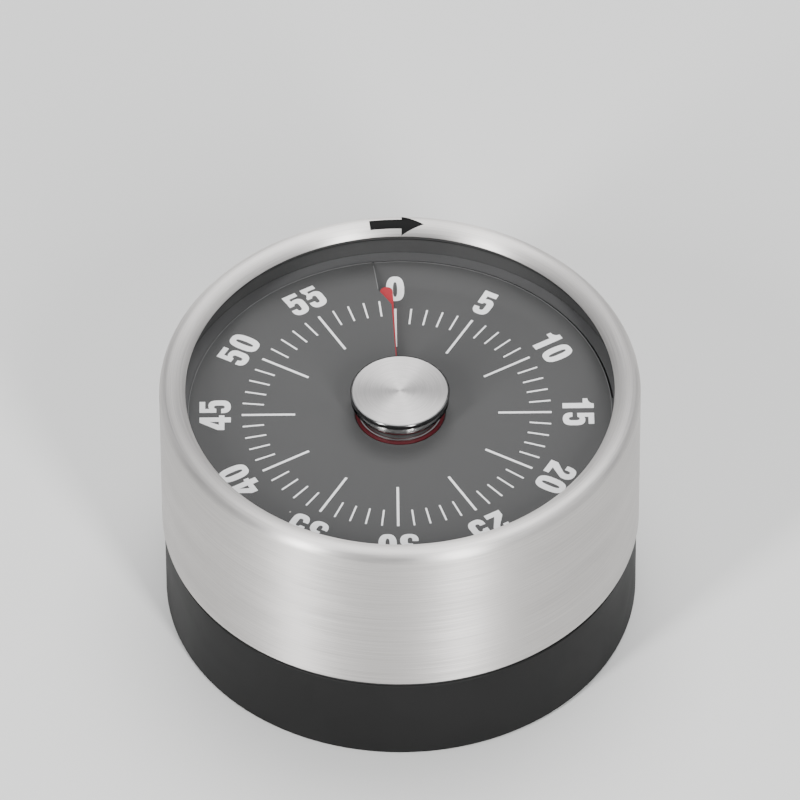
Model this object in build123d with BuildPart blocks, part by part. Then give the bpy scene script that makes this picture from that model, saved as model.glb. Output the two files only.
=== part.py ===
from build123d import *
from math import acos, cos, pi, radians, sin, sqrt, tan
import os

os.makedirs("parts", exist_ok=True)

# Mechanical 60-minute kitchen timer, in millimetres. +Z is up through the dial, the 0 mark
# is at the back (+Y), and the origin is under the middle of the foot. Twisting the steel
# shell winds the mainspring and draws a red disc up through the slit in the dial.
# Angles named "clock" are counted clockwise from +Y in degrees, as on the dial.

# ---- driving dimensions: case ------------------------------------------------------------
case_radius = 40.0          # outside of the steel shell
shell_height = 30.4         # lower edge of the shell to the crest of its rim
shell_wall = 0.8            # sheet steel
rim_round = 1.8             # outer rounding of the rim
rim_width = 4.4             # rim, from the outside of the shell to its inner lip
rim_drop = 1.4              # crest of the rim down to its inner lip
base_inset = 0.4            # the base is this much smaller in radius than the shell
base_height = 16.3          # base, underside to rim
base_wall = 2.6
base_floor = 3.2
shadow_gap = 1.0            # gap between base and shell
foot_stand = 0.4            # the rubber foot stands this far below the base
foot_width = 2.8
foot_groove = 1.2           # depth of the groove that holds the foot
foot_inset = 1.6            # outside of the base in to the foot
washer_inset = 0.7          # slip washer, set back from the outside of the shell

# ---- driving dimensions: dial, lens and disc ---------------------------------------------
dial_depth = 6.9            # crest of the rim down to the dial
dial_inset = 2.32           # edge of the dial sheet, in from the edge of its carrier
foil = 0.2                  # thickness of the dial sheet and of the red disc
slit_drop = 1.4             # the sheet sinks this far on the clockwise side of the slit
slit_lift = 0.6             # and stands this far up on the other side
drop_span = 80.0            # degrees over which it comes back level, clockwise side
lift_span = 75.0            # and on the other side
slit_clock = -1.9           # the slit, from the hole out to its slanted step
slit_clock_outer = -5.8     # the slit, from its step to the edge of the sheet
slit_step_inner = 24.6
slit_step_outer = 28.0
disc_radius = 26.8
disc_pitch = 2.0            # the red disc climbs this much in one turn
disc_lead_clock = -0.8      # its leading edge with the timer at 0
disc_span = 363.0           # degrees of sheet
tab_radius = 1.05           # round tab at the leading corner of the disc
tab_reach = 2.4             # from the edge of the disc to the end of the tab
hub_radius = 7.45           # red flange at the middle of the disc
edge_gap = 0.15             # between the flange, the dial's hole and the disc
lens_thickness = 1.0
lens_hole = 7.7
lens_seal = 0.6             # height of the seal over the lens
seal_width = 2.6
sleeve_wall = 1.4
glue_gap = 0.1              # sleeve inside shell
running_gap = 0.08          # a turning piece round a still one, or a shaft in its bush
press_gap = 0.02            # pieces pushed together by hand
clear_gap = 0.5             # moving pieces that pass each other

# ---- driving dimensions: centre cap and arbor --------------------------------------------
cap_radius = 8.25
cap_thickness = 0.9
cap_chamfer = 0.25
cap_overlap = 0.1           # cap, wider than the top of the neck
stem_radius = 6.05          # neck, below the dial
foot_radius = 6.37          # neck, just above the dial
waist_radius = 7.5          # neck, as high as the disc can climb
arbor_radius = 1.5

# ---- driving dimensions: carrier and movement --------------------------------------------
ledge_width = 4.0           # ring under the edge of the dial
tray_thickness = 1.6
tray_drop_ratio = 1.25      # dial down to the tray, over the climb of the disc
carrier_skirt = 6.0         # how deep the carrier reaches into the base
plate_inset = 4.0           # movement plates, in from the bore of the base
plate_thickness = 1.2
back_plate_rise = 13.6      # underside of the base up to the back plate
plate_gap = 14.8            # between the movement plates
pillar_radius = 1.8
pillar_bore = 0.9
pillar_inset = 6.0          # pillars, in from the edge of the plates
pillar_angles = (90.0, 195.0, 300.0)
post_radius = 2.6
post_inset = 2.8            # posts, in from the edge of the plates
post_angles = (30.0, 150.0, 270.0)
screw_radius = 1.2
screw_head_radius = 2.3
screw_head = 1.7
nut_size = 4.0              # across the flats
nut_height = 1.2
stud_rise = 1.0             # end of a pillar, up into its post
stud_gap = 1.9              # from there up to the tray screw

# ---- driving dimensions: bell and magnet -------------------------------------------------
bell_clearance = 0.6        # bell, inside the posts
bell_wall = 0.8
bell_height = 6.2
bell_stand = 5.6            # underside of the base up to the bell
bell_post_radius = 3.0
magnet_radius = 14.0
magnet_thickness = 2.6
magnet_cover = 0.6
magnet_boss = 1.6           # rise of the floor over the magnet

# ---- driving dimensions: wheels ----------------------------------------------------------
module = 0.4
pressure_angle = 20.0
backlash = 0.16
addendum = 0.30
dedendum = 0.50
main_teeth = 80
second_teeth = 60
pinion_teeth = 12
escape_teeth = 15
ratchet_teeth = 24
strike_teeth = 10
wheel_thickness = 1.2
escape_radius = 5.5
balance_radius = 6.5
pallet_distance = 8.0
strike_radius = 4.6
ratchet_radius = 5.5
cam_radius = 8.0
cam_notch = 1.8
small_arbor = 0.7
pallet_clearance = 0.75     # pallet pins, clear of the escape wheel

# ---- levels ------------------------------------------------------------------------------
base_bottom = foot_stand
base_radius = case_radius - base_inset
base_top = base_bottom + base_height
shell_bottom = base_top + shadow_gap
shell_top = shell_bottom + shell_height
shell_bore = case_radius - shell_wall
lip_radius = case_radius - rim_width
lip_level = shell_top - rim_drop
dial_level = shell_top - dial_depth
dial_bottom = dial_level - foil
lens_top = lip_level - lens_seal - 0.7
lens_bottom = lens_top - lens_thickness
floor_top = base_bottom + base_floor
plate_radius = base_radius - base_wall - plate_inset
pillar_circle = plate_radius - pillar_inset
post_circle = plate_radius - post_inset
bell_radius = post_circle - post_radius - bell_clearance
sleeve_outer = shell_bore - glue_gap
sleeve_bore = sleeve_outer - sleeve_wall
carrier_radius = sleeve_bore - running_gap
ledge_bore = carrier_radius - ledge_width
dial_radius = carrier_radius - dial_inset
tray_top = dial_level - tray_drop_ratio * disc_pitch
tray_bottom = tray_top - tray_thickness
neck_bottom = tray_top + 0.3
dial_hole = hub_radius + edge_gap
disc_bore = dial_hole + edge_gap
back_plate_level = base_bottom + back_plate_rise
plates_bottom = back_plate_level + plate_thickness
front_plate_level = plates_bottom + plate_gap
front_plate_top = front_plate_level + plate_thickness
bell_level = base_bottom + bell_stand
spring_level = plates_bottom + 0.6
spring_height = 6.0
main_level = spring_level + spring_height + 1.2
ratchet_level = main_level + wheel_thickness + 0.3
second_level = main_level + 3.4
cam_level = second_level + wheel_thickness + 0.6
escape_level = plates_bottom + 2.8
balance_level = escape_level + 3.0
strike_level = escape_level + 1.9
hammer_level = bell_level + 4.4

# ---- wheel centres -----------------------------------------------------------------------
main_pitch = module * main_teeth / 2
second_pitch = module * second_teeth / 2
pinion_pitch = module * pinion_teeth / 2
second_centre = Vector(main_pitch + pinion_pitch, 0)
escape_centre = second_centre + Vector(0, second_pitch + pinion_pitch)
pallet_centre = escape_centre + Vector(-1, 1).normalized() * pallet_distance
hammer_centre = Vector(18.0, -13.8)
detent_centre = Vector(-cam_radius - 3.2, 10.5)
click_centre = Vector(0, ratchet_radius + 3.6)


# ---- shared shapes -----------------------------------------------------------------------
def on_dial(radius, clock, level):
    """A point at a radius and a clockwise angle from the 0 mark."""
    return (radius * sin(radians(clock)), radius * cos(radians(clock)), level)


def ease(share):
    """Smooth step: level at both ends of its way from 0 to 1."""
    share = min(1.0, max(0.0, share))
    return share * share * (3 - 2 * share)


def dial_height(clock):
    """Top of the dial sheet: low after the slit, level, and lifted before it."""
    turned = clock - slit_clock_outer
    low = -slit_drop * (1 - ease(turned / drop_span))
    high = slit_lift * ease(1 - (360 - turned) / lift_span)
    return dial_level + low + high


def disc_height(clock):
    """Middle of the red disc: a one-turn screw surface through the slit."""
    return dial_level + disc_pitch * clock / 360


def ruled_sheet(inner_radius, outer_radius, start, stop, height_at, count=72):
    """Face whose radial lines follow a height given for each clockwise angle."""
    clocks = [start + (stop - start) * step / count for step in range(count + 1)]
    inner = Spline(*[on_dial(inner_radius, clock, height_at(clock)) for clock in clocks])
    outer = Spline(*[on_dial(outer_radius, clock, height_at(clock)) for clock in clocks])
    return Face.make_surface_from_curves(inner.edge(), outer.edge())


def involute(angle):
    return tan(angle) - angle


def gear_outline(teeth, phase=0.0):
    """Corners of an involute wheel, with four points on each flank."""
    pitch = module * teeth / 2
    base = pitch * cos(radians(pressure_angle))
    radii = (pitch - dedendum, pitch - dedendum / 2, pitch, pitch + addendum)
    half_at_pitch = pi / (2 * teeth) - backlash / (4 * pitch) + involute(radians(pressure_angle))
    flank = [(radius, half_at_pitch - involute(acos(min(1.0, base / radius)))) for radius in radii]
    corners = []
    for tooth in range(teeth):
        middle = radians(phase) + 2 * pi * tooth / teeth
        for radius, half in flank:
            corners.append((radius * cos(middle - half), radius * sin(middle - half)))
        for radius, half in reversed(flank):
            corners.append((radius * cos(middle + half), radius * sin(middle + half)))
    return corners


def saw_outline(teeth, tip_radius, depth, lean, phase=0.0):
    """Corners of a ratchet or escape wheel: each tooth is one steep and one long flank."""
    corners = []
    for tooth in range(teeth):
        start = radians(phase) + 2 * pi * tooth / teeth
        tip = start + 2 * pi / teeth * lean
        after = tip + 2 * pi / teeth * 0.12
        corners.append(((tip_radius - depth) * cos(start), (tip_radius - depth) * sin(start)))
        corners.append((tip_radius * cos(tip), tip_radius * sin(tip)))
        corners.append((tip_radius * cos(after), tip_radius * sin(after)))
    return corners


def spiral(inner_radius, outer_radius, turns, shift, count=96):
    """Points of a flat spiral whose radius grows evenly with its angle, ending on -X."""
    points = []
    for step in range(count + 1):
        angle = pi + 2 * pi * turns * step / count
        radius = inner_radius + (outer_radius - inner_radius) * step / count + shift
        points.append((radius * cos(angle), radius * sin(angle)))
    return points


# ---- base and what is fixed to it --------------------------------------------------------
with BuildPart() as base_case:
    with BuildSketch(Plane.XY.offset(base_bottom)):
        Circle(base_radius)
    extrude(amount=base_height)
    with BuildSketch(Plane.XY.offset(floor_top)):
        Circle(base_radius - base_wall)
    extrude(amount=base_height, mode=Mode.SUBTRACT)
    with BuildSketch(Plane.XY.offset(floor_top)):
        Circle(magnet_radius + 3)
    extrude(amount=magnet_boss)
    with BuildSketch(Plane.XY.offset(floor_top)):
        for angle in post_angles:
            with PolarLocations(post_circle, 1, angle):
                Circle(post_radius)
    extrude(amount=back_plate_level - floor_top)
    with BuildSketch(Plane.XY.offset(base_bottom)):
        Circle(base_radius - foot_inset)
        Circle(base_radius - foot_inset - foot_width, mode=Mode.SUBTRACT)
    extrude(amount=foot_groove, mode=Mode.SUBTRACT)
    with BuildSketch(Plane.XY.offset(base_bottom)):
        Circle(magnet_radius + 0.8)
    extrude(amount=magnet_cover, mode=Mode.SUBTRACT)
    with BuildSketch(Plane.XY.offset(base_bottom)):
        Circle(magnet_radius + glue_gap)
    extrude(amount=magnet_cover + magnet_thickness, mode=Mode.SUBTRACT)
    for angle in post_angles:
        with BuildSketch(Plane.XY.offset(base_bottom)):
            with PolarLocations(post_circle, 1, angle):
                Circle(screw_head_radius + glue_gap)
        extrude(amount=screw_head, mode=Mode.SUBTRACT)
        with BuildSketch(Plane.XY.offset(base_bottom)):
            with PolarLocations(post_circle, 1, angle):
                Circle(screw_radius + glue_gap)
        extrude(amount=back_plate_rise, mode=Mode.SUBTRACT)
    chamfer(base_case.edges().filter_by(GeomType.CIRCLE).sort_by(SortBy.RADIUS)[-2:], length=0.2)
base_case.part.label = "base_case"
export_step(base_case.part, "parts/base_case.step")

with BuildPart() as foot_ring:
    with BuildSketch():
        Circle(base_radius - foot_inset - press_gap)
        Circle(base_radius - foot_inset - foot_width + press_gap, mode=Mode.SUBTRACT)
    extrude(amount=foot_stand + foot_groove)
    fillet(foot_ring.edges().group_by(Axis.Z)[0], radius=0.2)
foot_ring.part.label = "foot_ring"
export_step(foot_ring.part, "parts/foot_ring.step")

with BuildPart() as magnet:
    with BuildSketch(Plane.XY.offset(base_bottom + magnet_cover)):
        Circle(magnet_radius)
    extrude(amount=magnet_thickness)
magnet.part.label = "magnet"
export_step(magnet.part, "parts/magnet.step")

with BuildPart() as magnet_cover_plate:
    with BuildSketch(Plane.XY.offset(base_bottom)):
        Circle(magnet_radius + 0.8 - press_gap)
    extrude(amount=magnet_cover)
magnet_cover_plate.part.label = "magnet_cover"
export_step(magnet_cover_plate.part, "parts/magnet_cover.step")

with BuildPart() as case_screws:
    for angle in post_angles:
        with BuildSketch(Plane.XY.offset(base_bottom + 0.1)):
            with PolarLocations(post_circle, 1, angle):
                Circle(screw_head_radius)
        extrude(amount=screw_head - 0.1)
        with BuildSketch(Plane.XY.offset(base_bottom + screw_head)):
            with PolarLocations(post_circle, 1, angle):
                Circle(screw_radius)
        extrude(amount=back_plate_rise + plate_thickness + 1 - screw_head)
        with BuildSketch(Plane.XY.offset(base_bottom + 0.1)):
            with PolarLocations(post_circle, 1, angle):
                Rectangle(0.6, 2.6)
                Rectangle(2.6, 0.6)
        extrude(amount=0.8, mode=Mode.SUBTRACT)
case_screws.part.label = "case_screws"
export_step(case_screws.part, "parts/case_screws.step")

with BuildPart() as slip_washer:
    with BuildSketch(Plane.XY.offset(base_top)):
        Circle(case_radius - washer_inset)
        Circle(carrier_radius + 0.6, mode=Mode.SUBTRACT)
    extrude(amount=shadow_gap - 0.05)
slip_washer.part.label = "slip_washer"
export_step(slip_washer.part, "parts/slip_washer.step")

with BuildPart() as bell_post:
    with BuildSketch(Plane.XY.offset(floor_top + magnet_boss)):
        Circle(bell_post_radius)
    extrude(amount=bell_level - floor_top - magnet_boss)
    with BuildSketch(Plane.XY.offset(bell_level)):
        Circle(1.5)
    extrude(amount=bell_wall + 0.6)
bell_post.part.label = "bell_post"
export_step(bell_post.part, "parts/bell_post.step")

with BuildPart() as bell:
    with BuildSketch(Plane.XZ):
        with BuildLine():
            Polyline((1.6, bell_level), (bell_radius - 3, bell_level))
            TangentArc((bell_radius - 3, bell_level), (bell_radius, bell_level + 3), tangent=(1, 0))
            Line((bell_radius, bell_level + 3), (bell_radius, bell_level + bell_height))
            Line((bell_radius, bell_level + bell_height),
                 (bell_radius - bell_wall, bell_level + bell_height))
            Line((bell_radius - bell_wall, bell_level + bell_height),
                 (bell_radius - bell_wall, bell_level + 3))
            TangentArc((bell_radius - bell_wall, bell_level + 3),
                       (bell_radius - 3, bell_level + bell_wall), tangent=(0, -1))
            Polyline((bell_radius - 3, bell_level + bell_wall), (1.6, bell_level + bell_wall),
                     (1.6, bell_level))
        make_face()
    revolve(axis=Axis.Z)
bell.part.label = "bell"
export_step(bell.part, "parts/bell.step")

with BuildPart() as bell_nut:
    with BuildSketch(Plane.XY.offset(bell_level + bell_wall)):
        RegularPolygon(nut_size / 2 + 0.6, 6, major_radius=False)
        Circle(1.6, mode=Mode.SUBTRACT)
    extrude(amount=nut_height)
bell_nut.part.label = "bell_nut"
export_step(bell_nut.part, "parts/bell_nut.step")

# ---- movement frame ----------------------------------------------------------------------
small_bores = (second_centre, escape_centre, pallet_centre, hammer_centre)

with BuildPart() as back_plate:
    with BuildSketch(Plane.XY.offset(back_plate_level)):
        Circle(plate_radius)
        Circle(arbor_radius + 1.2, mode=Mode.SUBTRACT)
        with Locations(*small_bores):
            Circle(small_arbor + running_gap, mode=Mode.SUBTRACT)
        for angle in pillar_angles:
            with PolarLocations(pillar_circle, 1, angle):
                Circle(pillar_bore, mode=Mode.SUBTRACT)
        for angle in post_angles:
            with PolarLocations(post_circle, 1, angle):
                Circle(screw_radius + press_gap, mode=Mode.SUBTRACT)
        with Locations((-14, 12), (-12, -16)):
            SlotOverall(14, 6, mode=Mode.SUBTRACT)
    extrude(amount=plate_thickness)
back_plate.part.label = "back_plate"
export_step(back_plate.part, "parts/back_plate.step")

with BuildPart() as front_plate:
    with BuildSketch(Plane.XY.offset(front_plate_level)):
        Circle(plate_radius)
        Circle(arbor_radius + 1.2, mode=Mode.SUBTRACT)
        with Locations(*small_bores):
            Circle(small_arbor + running_gap, mode=Mode.SUBTRACT)
        with Locations(detent_centre):
            Circle(small_arbor + press_gap, mode=Mode.SUBTRACT)
        for angle in pillar_angles:
            with PolarLocations(pillar_circle, 1, angle):
                Circle(pillar_bore, mode=Mode.SUBTRACT)
        with Locations((-17, -12), (0, -14)):
            SlotOverall(11, 5, mode=Mode.SUBTRACT)
    extrude(amount=plate_thickness)
front_plate.part.label = "front_plate"
export_step(front_plate.part, "parts/front_plate.step")

with BuildPart() as arbor_bushes:
    for level in (back_plate_level, front_plate_level):
        with BuildSketch(Plane.XY.offset(level - 0.2)):
            Circle(arbor_radius + 1.2 - press_gap)
            Circle(arbor_radius + running_gap, mode=Mode.SUBTRACT)
        extrude(amount=plate_thickness + 0.4)
arbor_bushes.part.label = "arbor_bushes"
export_step(arbor_bushes.part, "parts/arbor_bushes.step")

with BuildPart() as plate_pillars:
    for angle in pillar_angles:
        with BuildSketch(Plane.XY.offset(plates_bottom)):
            with PolarLocations(pillar_circle, 1, angle):
                Circle(pillar_radius)
        extrude(amount=plate_gap)
        with BuildSketch(Plane.XY.offset(back_plate_level - nut_height)):
            with PolarLocations(pillar_circle, 1, angle):
                Circle(pillar_bore - press_gap)
        extrude(amount=front_plate_top + stud_rise - back_plate_level + nut_height)
plate_pillars.part.label = "plate_pillars"
export_step(plate_pillars.part, "parts/plate_pillars.step")

with BuildPart() as plate_nuts:
    for angle in pillar_angles:
        with BuildSketch(Plane.XY.offset(back_plate_level - nut_height)):
            with PolarLocations(pillar_circle, 1, angle):
                RegularPolygon(nut_size / 2, 6, major_radius=False)
                Circle(pillar_bore, mode=Mode.SUBTRACT)
        extrude(amount=nut_height)
plate_nuts.part.label = "plate_nuts"
export_step(plate_nuts.part, "parts/plate_nuts.step")

with BuildPart() as spacer_posts:
    for angle in pillar_angles:
        with BuildSketch(Plane.XY.offset(front_plate_top)):
            with PolarLocations(pillar_circle, 1, angle):
                RegularPolygon(nut_size / 2, 6, major_radius=False)
                Circle(pillar_bore, mode=Mode.SUBTRACT)
        extrude(amount=tray_bottom - front_plate_top)
spacer_posts.part.label = "spacer_posts"
export_step(spacer_posts.part, "parts/spacer_posts.step")

with BuildPart() as tray_screws:
    for angle in pillar_angles:
        with BuildSketch(Plane.XY.offset(front_plate_top + stud_rise + stud_gap)):
            with PolarLocations(pillar_circle, 1, angle):
                Circle(pillar_bore - press_gap)
        extrude(amount=tray_top - 0.5 - front_plate_top - stud_rise - stud_gap)
        with BuildSketch(Plane.XY.offset(tray_top - 0.9)):
            with PolarLocations(pillar_circle, 1, angle):
                Circle(1.9)
        extrude(amount=0.8)
        with BuildSketch(Plane.XY.offset(tray_top - 0.5)):
            with PolarLocations(pillar_circle, 1, angle):
                Rectangle(3, 0.5)
        extrude(amount=0.6, mode=Mode.SUBTRACT)
tray_screws.part.label = "tray_screws"
export_step(tray_screws.part, "parts/tray_screws.step")

with BuildPart() as dial_carrier:
    with BuildSketch(Plane.XZ):
        with BuildLine():
            Polyline(
                (base_radius - base_wall - glue_gap, base_top - carrier_skirt),
                (base_radius - base_wall - glue_gap, base_top),
                (carrier_radius, base_top),
                (carrier_radius, dial_bottom),
                (ledge_bore, dial_bottom),
                (ledge_bore, tray_top),
                (stem_radius + clear_gap, tray_top),
                (stem_radius + clear_gap, tray_bottom),
                (plate_radius + 1.6, tray_bottom),
                (plate_radius + 1.6, base_top - carrier_skirt),
                close=True,
            )
        make_face()
    revolve(axis=Axis.Z)
    with BuildSketch(Plane.XY.offset(dial_bottom)):
        with BuildLine():
            relief = [on_dial(dial_radius + 0.4, clock, 0) for clock in (-9, drop_span / 2, drop_span + 5)]
            ThreePointArc(*relief)
            Polyline(relief[2], (0, 0), relief[0])
        make_face()
        Circle(ledge_bore - 0.1, mode=Mode.SUBTRACT)
    extrude(amount=-(slit_drop + foil), mode=Mode.SUBTRACT)
    for angle in pillar_angles:
        with BuildSketch(Plane.XY.offset(tray_bottom)):
            with PolarLocations(pillar_circle, 1, angle):
                Circle(pillar_bore + glue_gap)
        extrude(amount=tray_thickness, mode=Mode.SUBTRACT)
        with BuildSketch(Plane.XY.offset(tray_top - 0.9)):
            with PolarLocations(pillar_circle, 1, angle):
                Circle(2.0)
        extrude(amount=0.9, mode=Mode.SUBTRACT)
dial_carrier.part.label = "dial_carrier"
export_step(dial_carrier.part, "parts/dial_carrier.step")

# ---- dial sheet and red disc -------------------------------------------------------------
dial_face = ruled_sheet(dial_hole, dial_radius, slit_clock_outer, slit_clock_outer + 360, dial_height)
flap_edge = [
    on_dial(dial_hole - 1, slit_clock, 0),
    on_dial(slit_step_inner, slit_clock, 0),
    on_dial(slit_step_outer, slit_clock_outer, 0),
    on_dial(dial_hole - 1, slit_clock_outer, 0),
]

with BuildPart() as dial_plate:
    extrude(dial_face, amount=foil, dir=(0, 0, -1))
    with BuildSketch(Plane.XY.offset(dial_level - slit_drop - foil - 0.2)):
        with BuildLine():
            Polyline(*flap_edge, close=True)
        make_face()
    extrude(amount=slit_drop + slit_lift / 2, mode=Mode.SUBTRACT)
    with BuildSketch(Plane.XY.offset(dial_level + slit_lift - foil)):
        with BuildLine():
            Polyline(*flap_edge, close=True)
        make_face()
        Circle(dial_hole, mode=Mode.SUBTRACT)
    extrude(amount=foil)
dial_plate.part.label = "dial_plate"
export_step(dial_plate.part, "parts/dial_plate.step")

disc_face = ruled_sheet(disc_bore, disc_radius, disc_lead_clock - disc_span, disc_lead_clock, disc_height)
tab_middle = disc_radius + tab_reach - tab_radius
tab_root = disc_radius - 1.5

with BuildPart() as visual_disc:
    extrude(disc_face, amount=foil / 2, dir=(0, 0, 1), both=True)
    with BuildSketch(Plane.XY.offset(dial_level - foil / 2).rotated((0, 0, -disc_lead_clock))):
        with Locations((-tab_radius, tab_middle)):
            Circle(tab_radius)
        with Locations((-tab_radius, (tab_middle + tab_root) / 2)):
            Rectangle(2 * tab_radius, tab_middle - tab_root)
    extrude(amount=foil)
visual_disc.part.label = "visual_disc"
export_step(visual_disc.part, "parts/visual_disc.step")

with BuildPart() as disc_hub:
    with BuildSketch(Plane.XY.offset(dial_level - foil / 2)):
        Circle(hub_radius)
        Circle(stem_radius + press_gap, mode=Mode.SUBTRACT)
    extrude(amount=foil)
disc_hub.part.label = "disc_hub"
export_step(disc_hub.part, "parts/disc_hub.step")

# ---- turning shell, sleeve, lens and cap -------------------------------------------------
crest_radius = case_radius - rim_round
lip_reach = crest_radius - lip_radius
lip_round = (lip_reach ** 2 + rim_drop ** 2) / (2 * rim_drop)

with BuildPart() as steel_shell:
    with BuildSketch(Plane.XZ):
        with BuildLine() as shell_line:
            Line((case_radius, shell_bottom), (case_radius, shell_top - rim_round))
            TangentArc((case_radius, shell_top - rim_round), (crest_radius, shell_top), tangent=(0, 1))
            TangentArc((crest_radius, shell_top), (lip_radius, lip_level), tangent=(-1, 0))
            offset(amount=shell_wall, side=Side.LEFT)
        make_face()
    revolve(axis=Axis.Z)
steel_shell.part.label = "steel_shell"
export_step(steel_shell.part, "parts/steel_shell.step")

with BuildPart() as inner_sleeve:
    with BuildSketch(Plane.XY.offset(shell_bottom + 0.4)):
        Circle(sleeve_outer)
        Circle(sleeve_bore, mode=Mode.SUBTRACT)
    extrude(amount=lens_bottom - shell_bottom - 0.4)
inner_sleeve.part.label = "inner_sleeve"
export_step(inner_sleeve.part, "parts/inner_sleeve.step")

with BuildPart() as lens:
    with BuildSketch(Plane.XY.offset(lens_bottom)):
        Circle(sleeve_outer)
        Circle(lens_hole, mode=Mode.SUBTRACT)
    extrude(amount=lens_thickness)
lens.part.label = "lens"
export_step(lens.part, "parts/lens.step")

with BuildPart() as lens_gasket:
    with BuildSketch(Plane.XY.offset(lens_top)):
        Circle(lip_radius + 0.5 + seal_width)
        Circle(lip_radius + 0.5, mode=Mode.SUBTRACT)
    extrude(amount=lens_seal)
lens_gasket.part.label = "lens_gasket"
export_step(lens_gasket.part, "parts/lens_gasket.step")

cap_level = lens_top
with BuildPart() as centre_cap:
    with BuildSketch(Plane.XY.offset(cap_level)):
        Circle(cap_radius)
    extrude(amount=cap_thickness)
    chamfer(centre_cap.edges().group_by(Axis.Z)[-1], length=cap_chamfer)
centre_cap.part.label = "centre_cap"
export_step(centre_cap.part, "parts/centre_cap.step")

foot_level = dial_level + edge_gap
with BuildPart() as centre_neck:
    with BuildSketch(Plane.XZ):
        with BuildLine():
            Polyline(
                (cap_radius - cap_overlap, lens_bottom),
                (lens_hole - press_gap, lens_bottom),
                (lens_hole - press_gap, lens_top),
                (arbor_radius + press_gap, lens_top),
                (arbor_radius + press_gap, neck_bottom),
                (stem_radius, neck_bottom),
                (stem_radius, foot_level),
                (foot_radius, foot_level),
            )
            ThreePointArc(
                (foot_radius, foot_level),
                (waist_radius, dial_level + disc_pitch),
                (cap_radius - cap_overlap, lens_bottom),
            )
        make_face()
    revolve(axis=Axis.Z)
centre_neck.part.label = "centre_neck"
export_step(centre_neck.part, "parts/centre_neck.step")

arbor_bottom = back_plate_level - 1.8
with BuildPart() as main_arbor:
    with BuildSketch(Plane.XY.offset(arbor_bottom)):
        Circle(arbor_radius)
    extrude(amount=cap_level - arbor_bottom)
main_arbor.part.label = "main_arbor"
export_step(main_arbor.part, "parts/main_arbor.step")

with BuildPart() as arbor_clip:
    with BuildSketch(Plane.XY.offset(arbor_bottom + 0.5)):
        Circle(arbor_radius + 1.4)
        Circle(arbor_radius + press_gap, mode=Mode.SUBTRACT)
        with Locations((arbor_radius + 1.4, 0)):
            Rectangle(2.8, 1.8, mode=Mode.SUBTRACT)
    extrude(amount=0.6)
arbor_clip.part.label = "arbor_clip"
export_step(arbor_clip.part, "parts/arbor_clip.step")

with BuildPart() as spring_collar:
    with BuildSketch(Plane.XY.offset(spring_level)):
        Circle(arbor_radius + 1)
        Circle(arbor_radius + press_gap, mode=Mode.SUBTRACT)
    extrude(amount=spring_height)
spring_collar.part.label = "spring_collar"
export_step(spring_collar.part, "parts/spring_collar.step")

with BuildPart() as ratchet_wheel:
    with BuildSketch(Plane.XY.offset(ratchet_level)):
        with BuildLine():
            Polyline(*saw_outline(ratchet_teeth, ratchet_radius, 0.7, 0.8, phase=90), close=True)
        make_face()
        Circle(arbor_radius + press_gap, mode=Mode.SUBTRACT)
    extrude(amount=0.9)
ratchet_wheel.part.label = "ratchet_wheel"
export_step(ratchet_wheel.part, "parts/ratchet_wheel.step")

with BuildPart() as strike_cam:
    with BuildSketch(Plane.XY.offset(cam_level)):
        Circle(cam_radius)
        Circle(arbor_radius + press_gap, mode=Mode.SUBTRACT)
        with Locations((-cam_radius, 0)):
            Rectangle(2 * cam_notch, 3.2, mode=Mode.SUBTRACT)
    extrude(amount=1.0)
strike_cam.part.label = "strike_cam"
export_step(strike_cam.part, "parts/strike_cam.step")

# ---- mainspring --------------------------------------------------------------------------
spring_inner = arbor_radius + 1.4
spring_outer = 13.0
spring_band = 0.3
spring_turns = 6

with BuildPart() as mainspring:
    with BuildSketch(Plane.XY.offset(spring_level)):
        with BuildLine():
            inside = Spline(*spiral(spring_inner, spring_outer, spring_turns, 0))
            outside = Spline(*spiral(spring_inner, spring_outer, spring_turns, spring_band))
            Line(inside @ 0, outside @ 0)
            Line(inside @ 1, outside @ 1)
        make_face()
    extrude(amount=spring_height - 0.4)
mainspring.part.label = "mainspring"
export_step(mainspring.part, "parts/mainspring.step")

with BuildPart() as spring_stud:
    with BuildSketch(Plane.XY.offset(plates_bottom)):
        with Locations((-spring_outer - spring_band - 1.1, 0)):
            Circle(1.0)
    extrude(amount=spring_height)
spring_stud.part.label = "spring_stud"
export_step(spring_stud.part, "parts/spring_stud.step")

# ---- main wheel and click ----------------------------------------------------------------
with BuildPart() as main_wheel:
    with BuildSketch(Plane.XY.offset(main_level)):
        with BuildLine():
            Polyline(*gear_outline(main_teeth), close=True)
        make_face()
        Circle(arbor_radius + running_gap, mode=Mode.SUBTRACT)
        with PolarLocations(main_pitch * 0.72, 5, 18):
            Circle(2.2, mode=Mode.SUBTRACT)
        with Locations(click_centre):
            Circle(0.6, mode=Mode.SUBTRACT)
    extrude(amount=wheel_thickness)
main_wheel.part.label = "main_wheel"
export_step(main_wheel.part, "parts/main_wheel.step")

with BuildPart() as click_pin:
    with BuildSketch(Plane.XY.offset(main_level)):
        with Locations(click_centre):
            Circle(0.6 - press_gap)
    extrude(amount=ratchet_level + 1.3 - main_level)
click_pin.part.label = "click_pin"
export_step(click_pin.part, "parts/click_pin.step")

with BuildPart() as click:
    with BuildSketch(Plane.XY.offset(ratchet_level + 0.05)):
        with Locations(click_centre):
            Circle(1.3)
        with BuildLine():
            Polyline(
                click_centre + Vector(0, 1.2),
                click_centre + Vector(-3.9, -1.7),
                click_centre + Vector(-3.6, -2.2),
                click_centre + Vector(0, -1.2),
                close=True,
            )
        make_face()
        with Locations(click_centre):
            Circle(0.6 + running_gap, mode=Mode.SUBTRACT)
    extrude(amount=0.8)
click.part.label = "click"
export_step(click.part, "parts/click.step")

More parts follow.
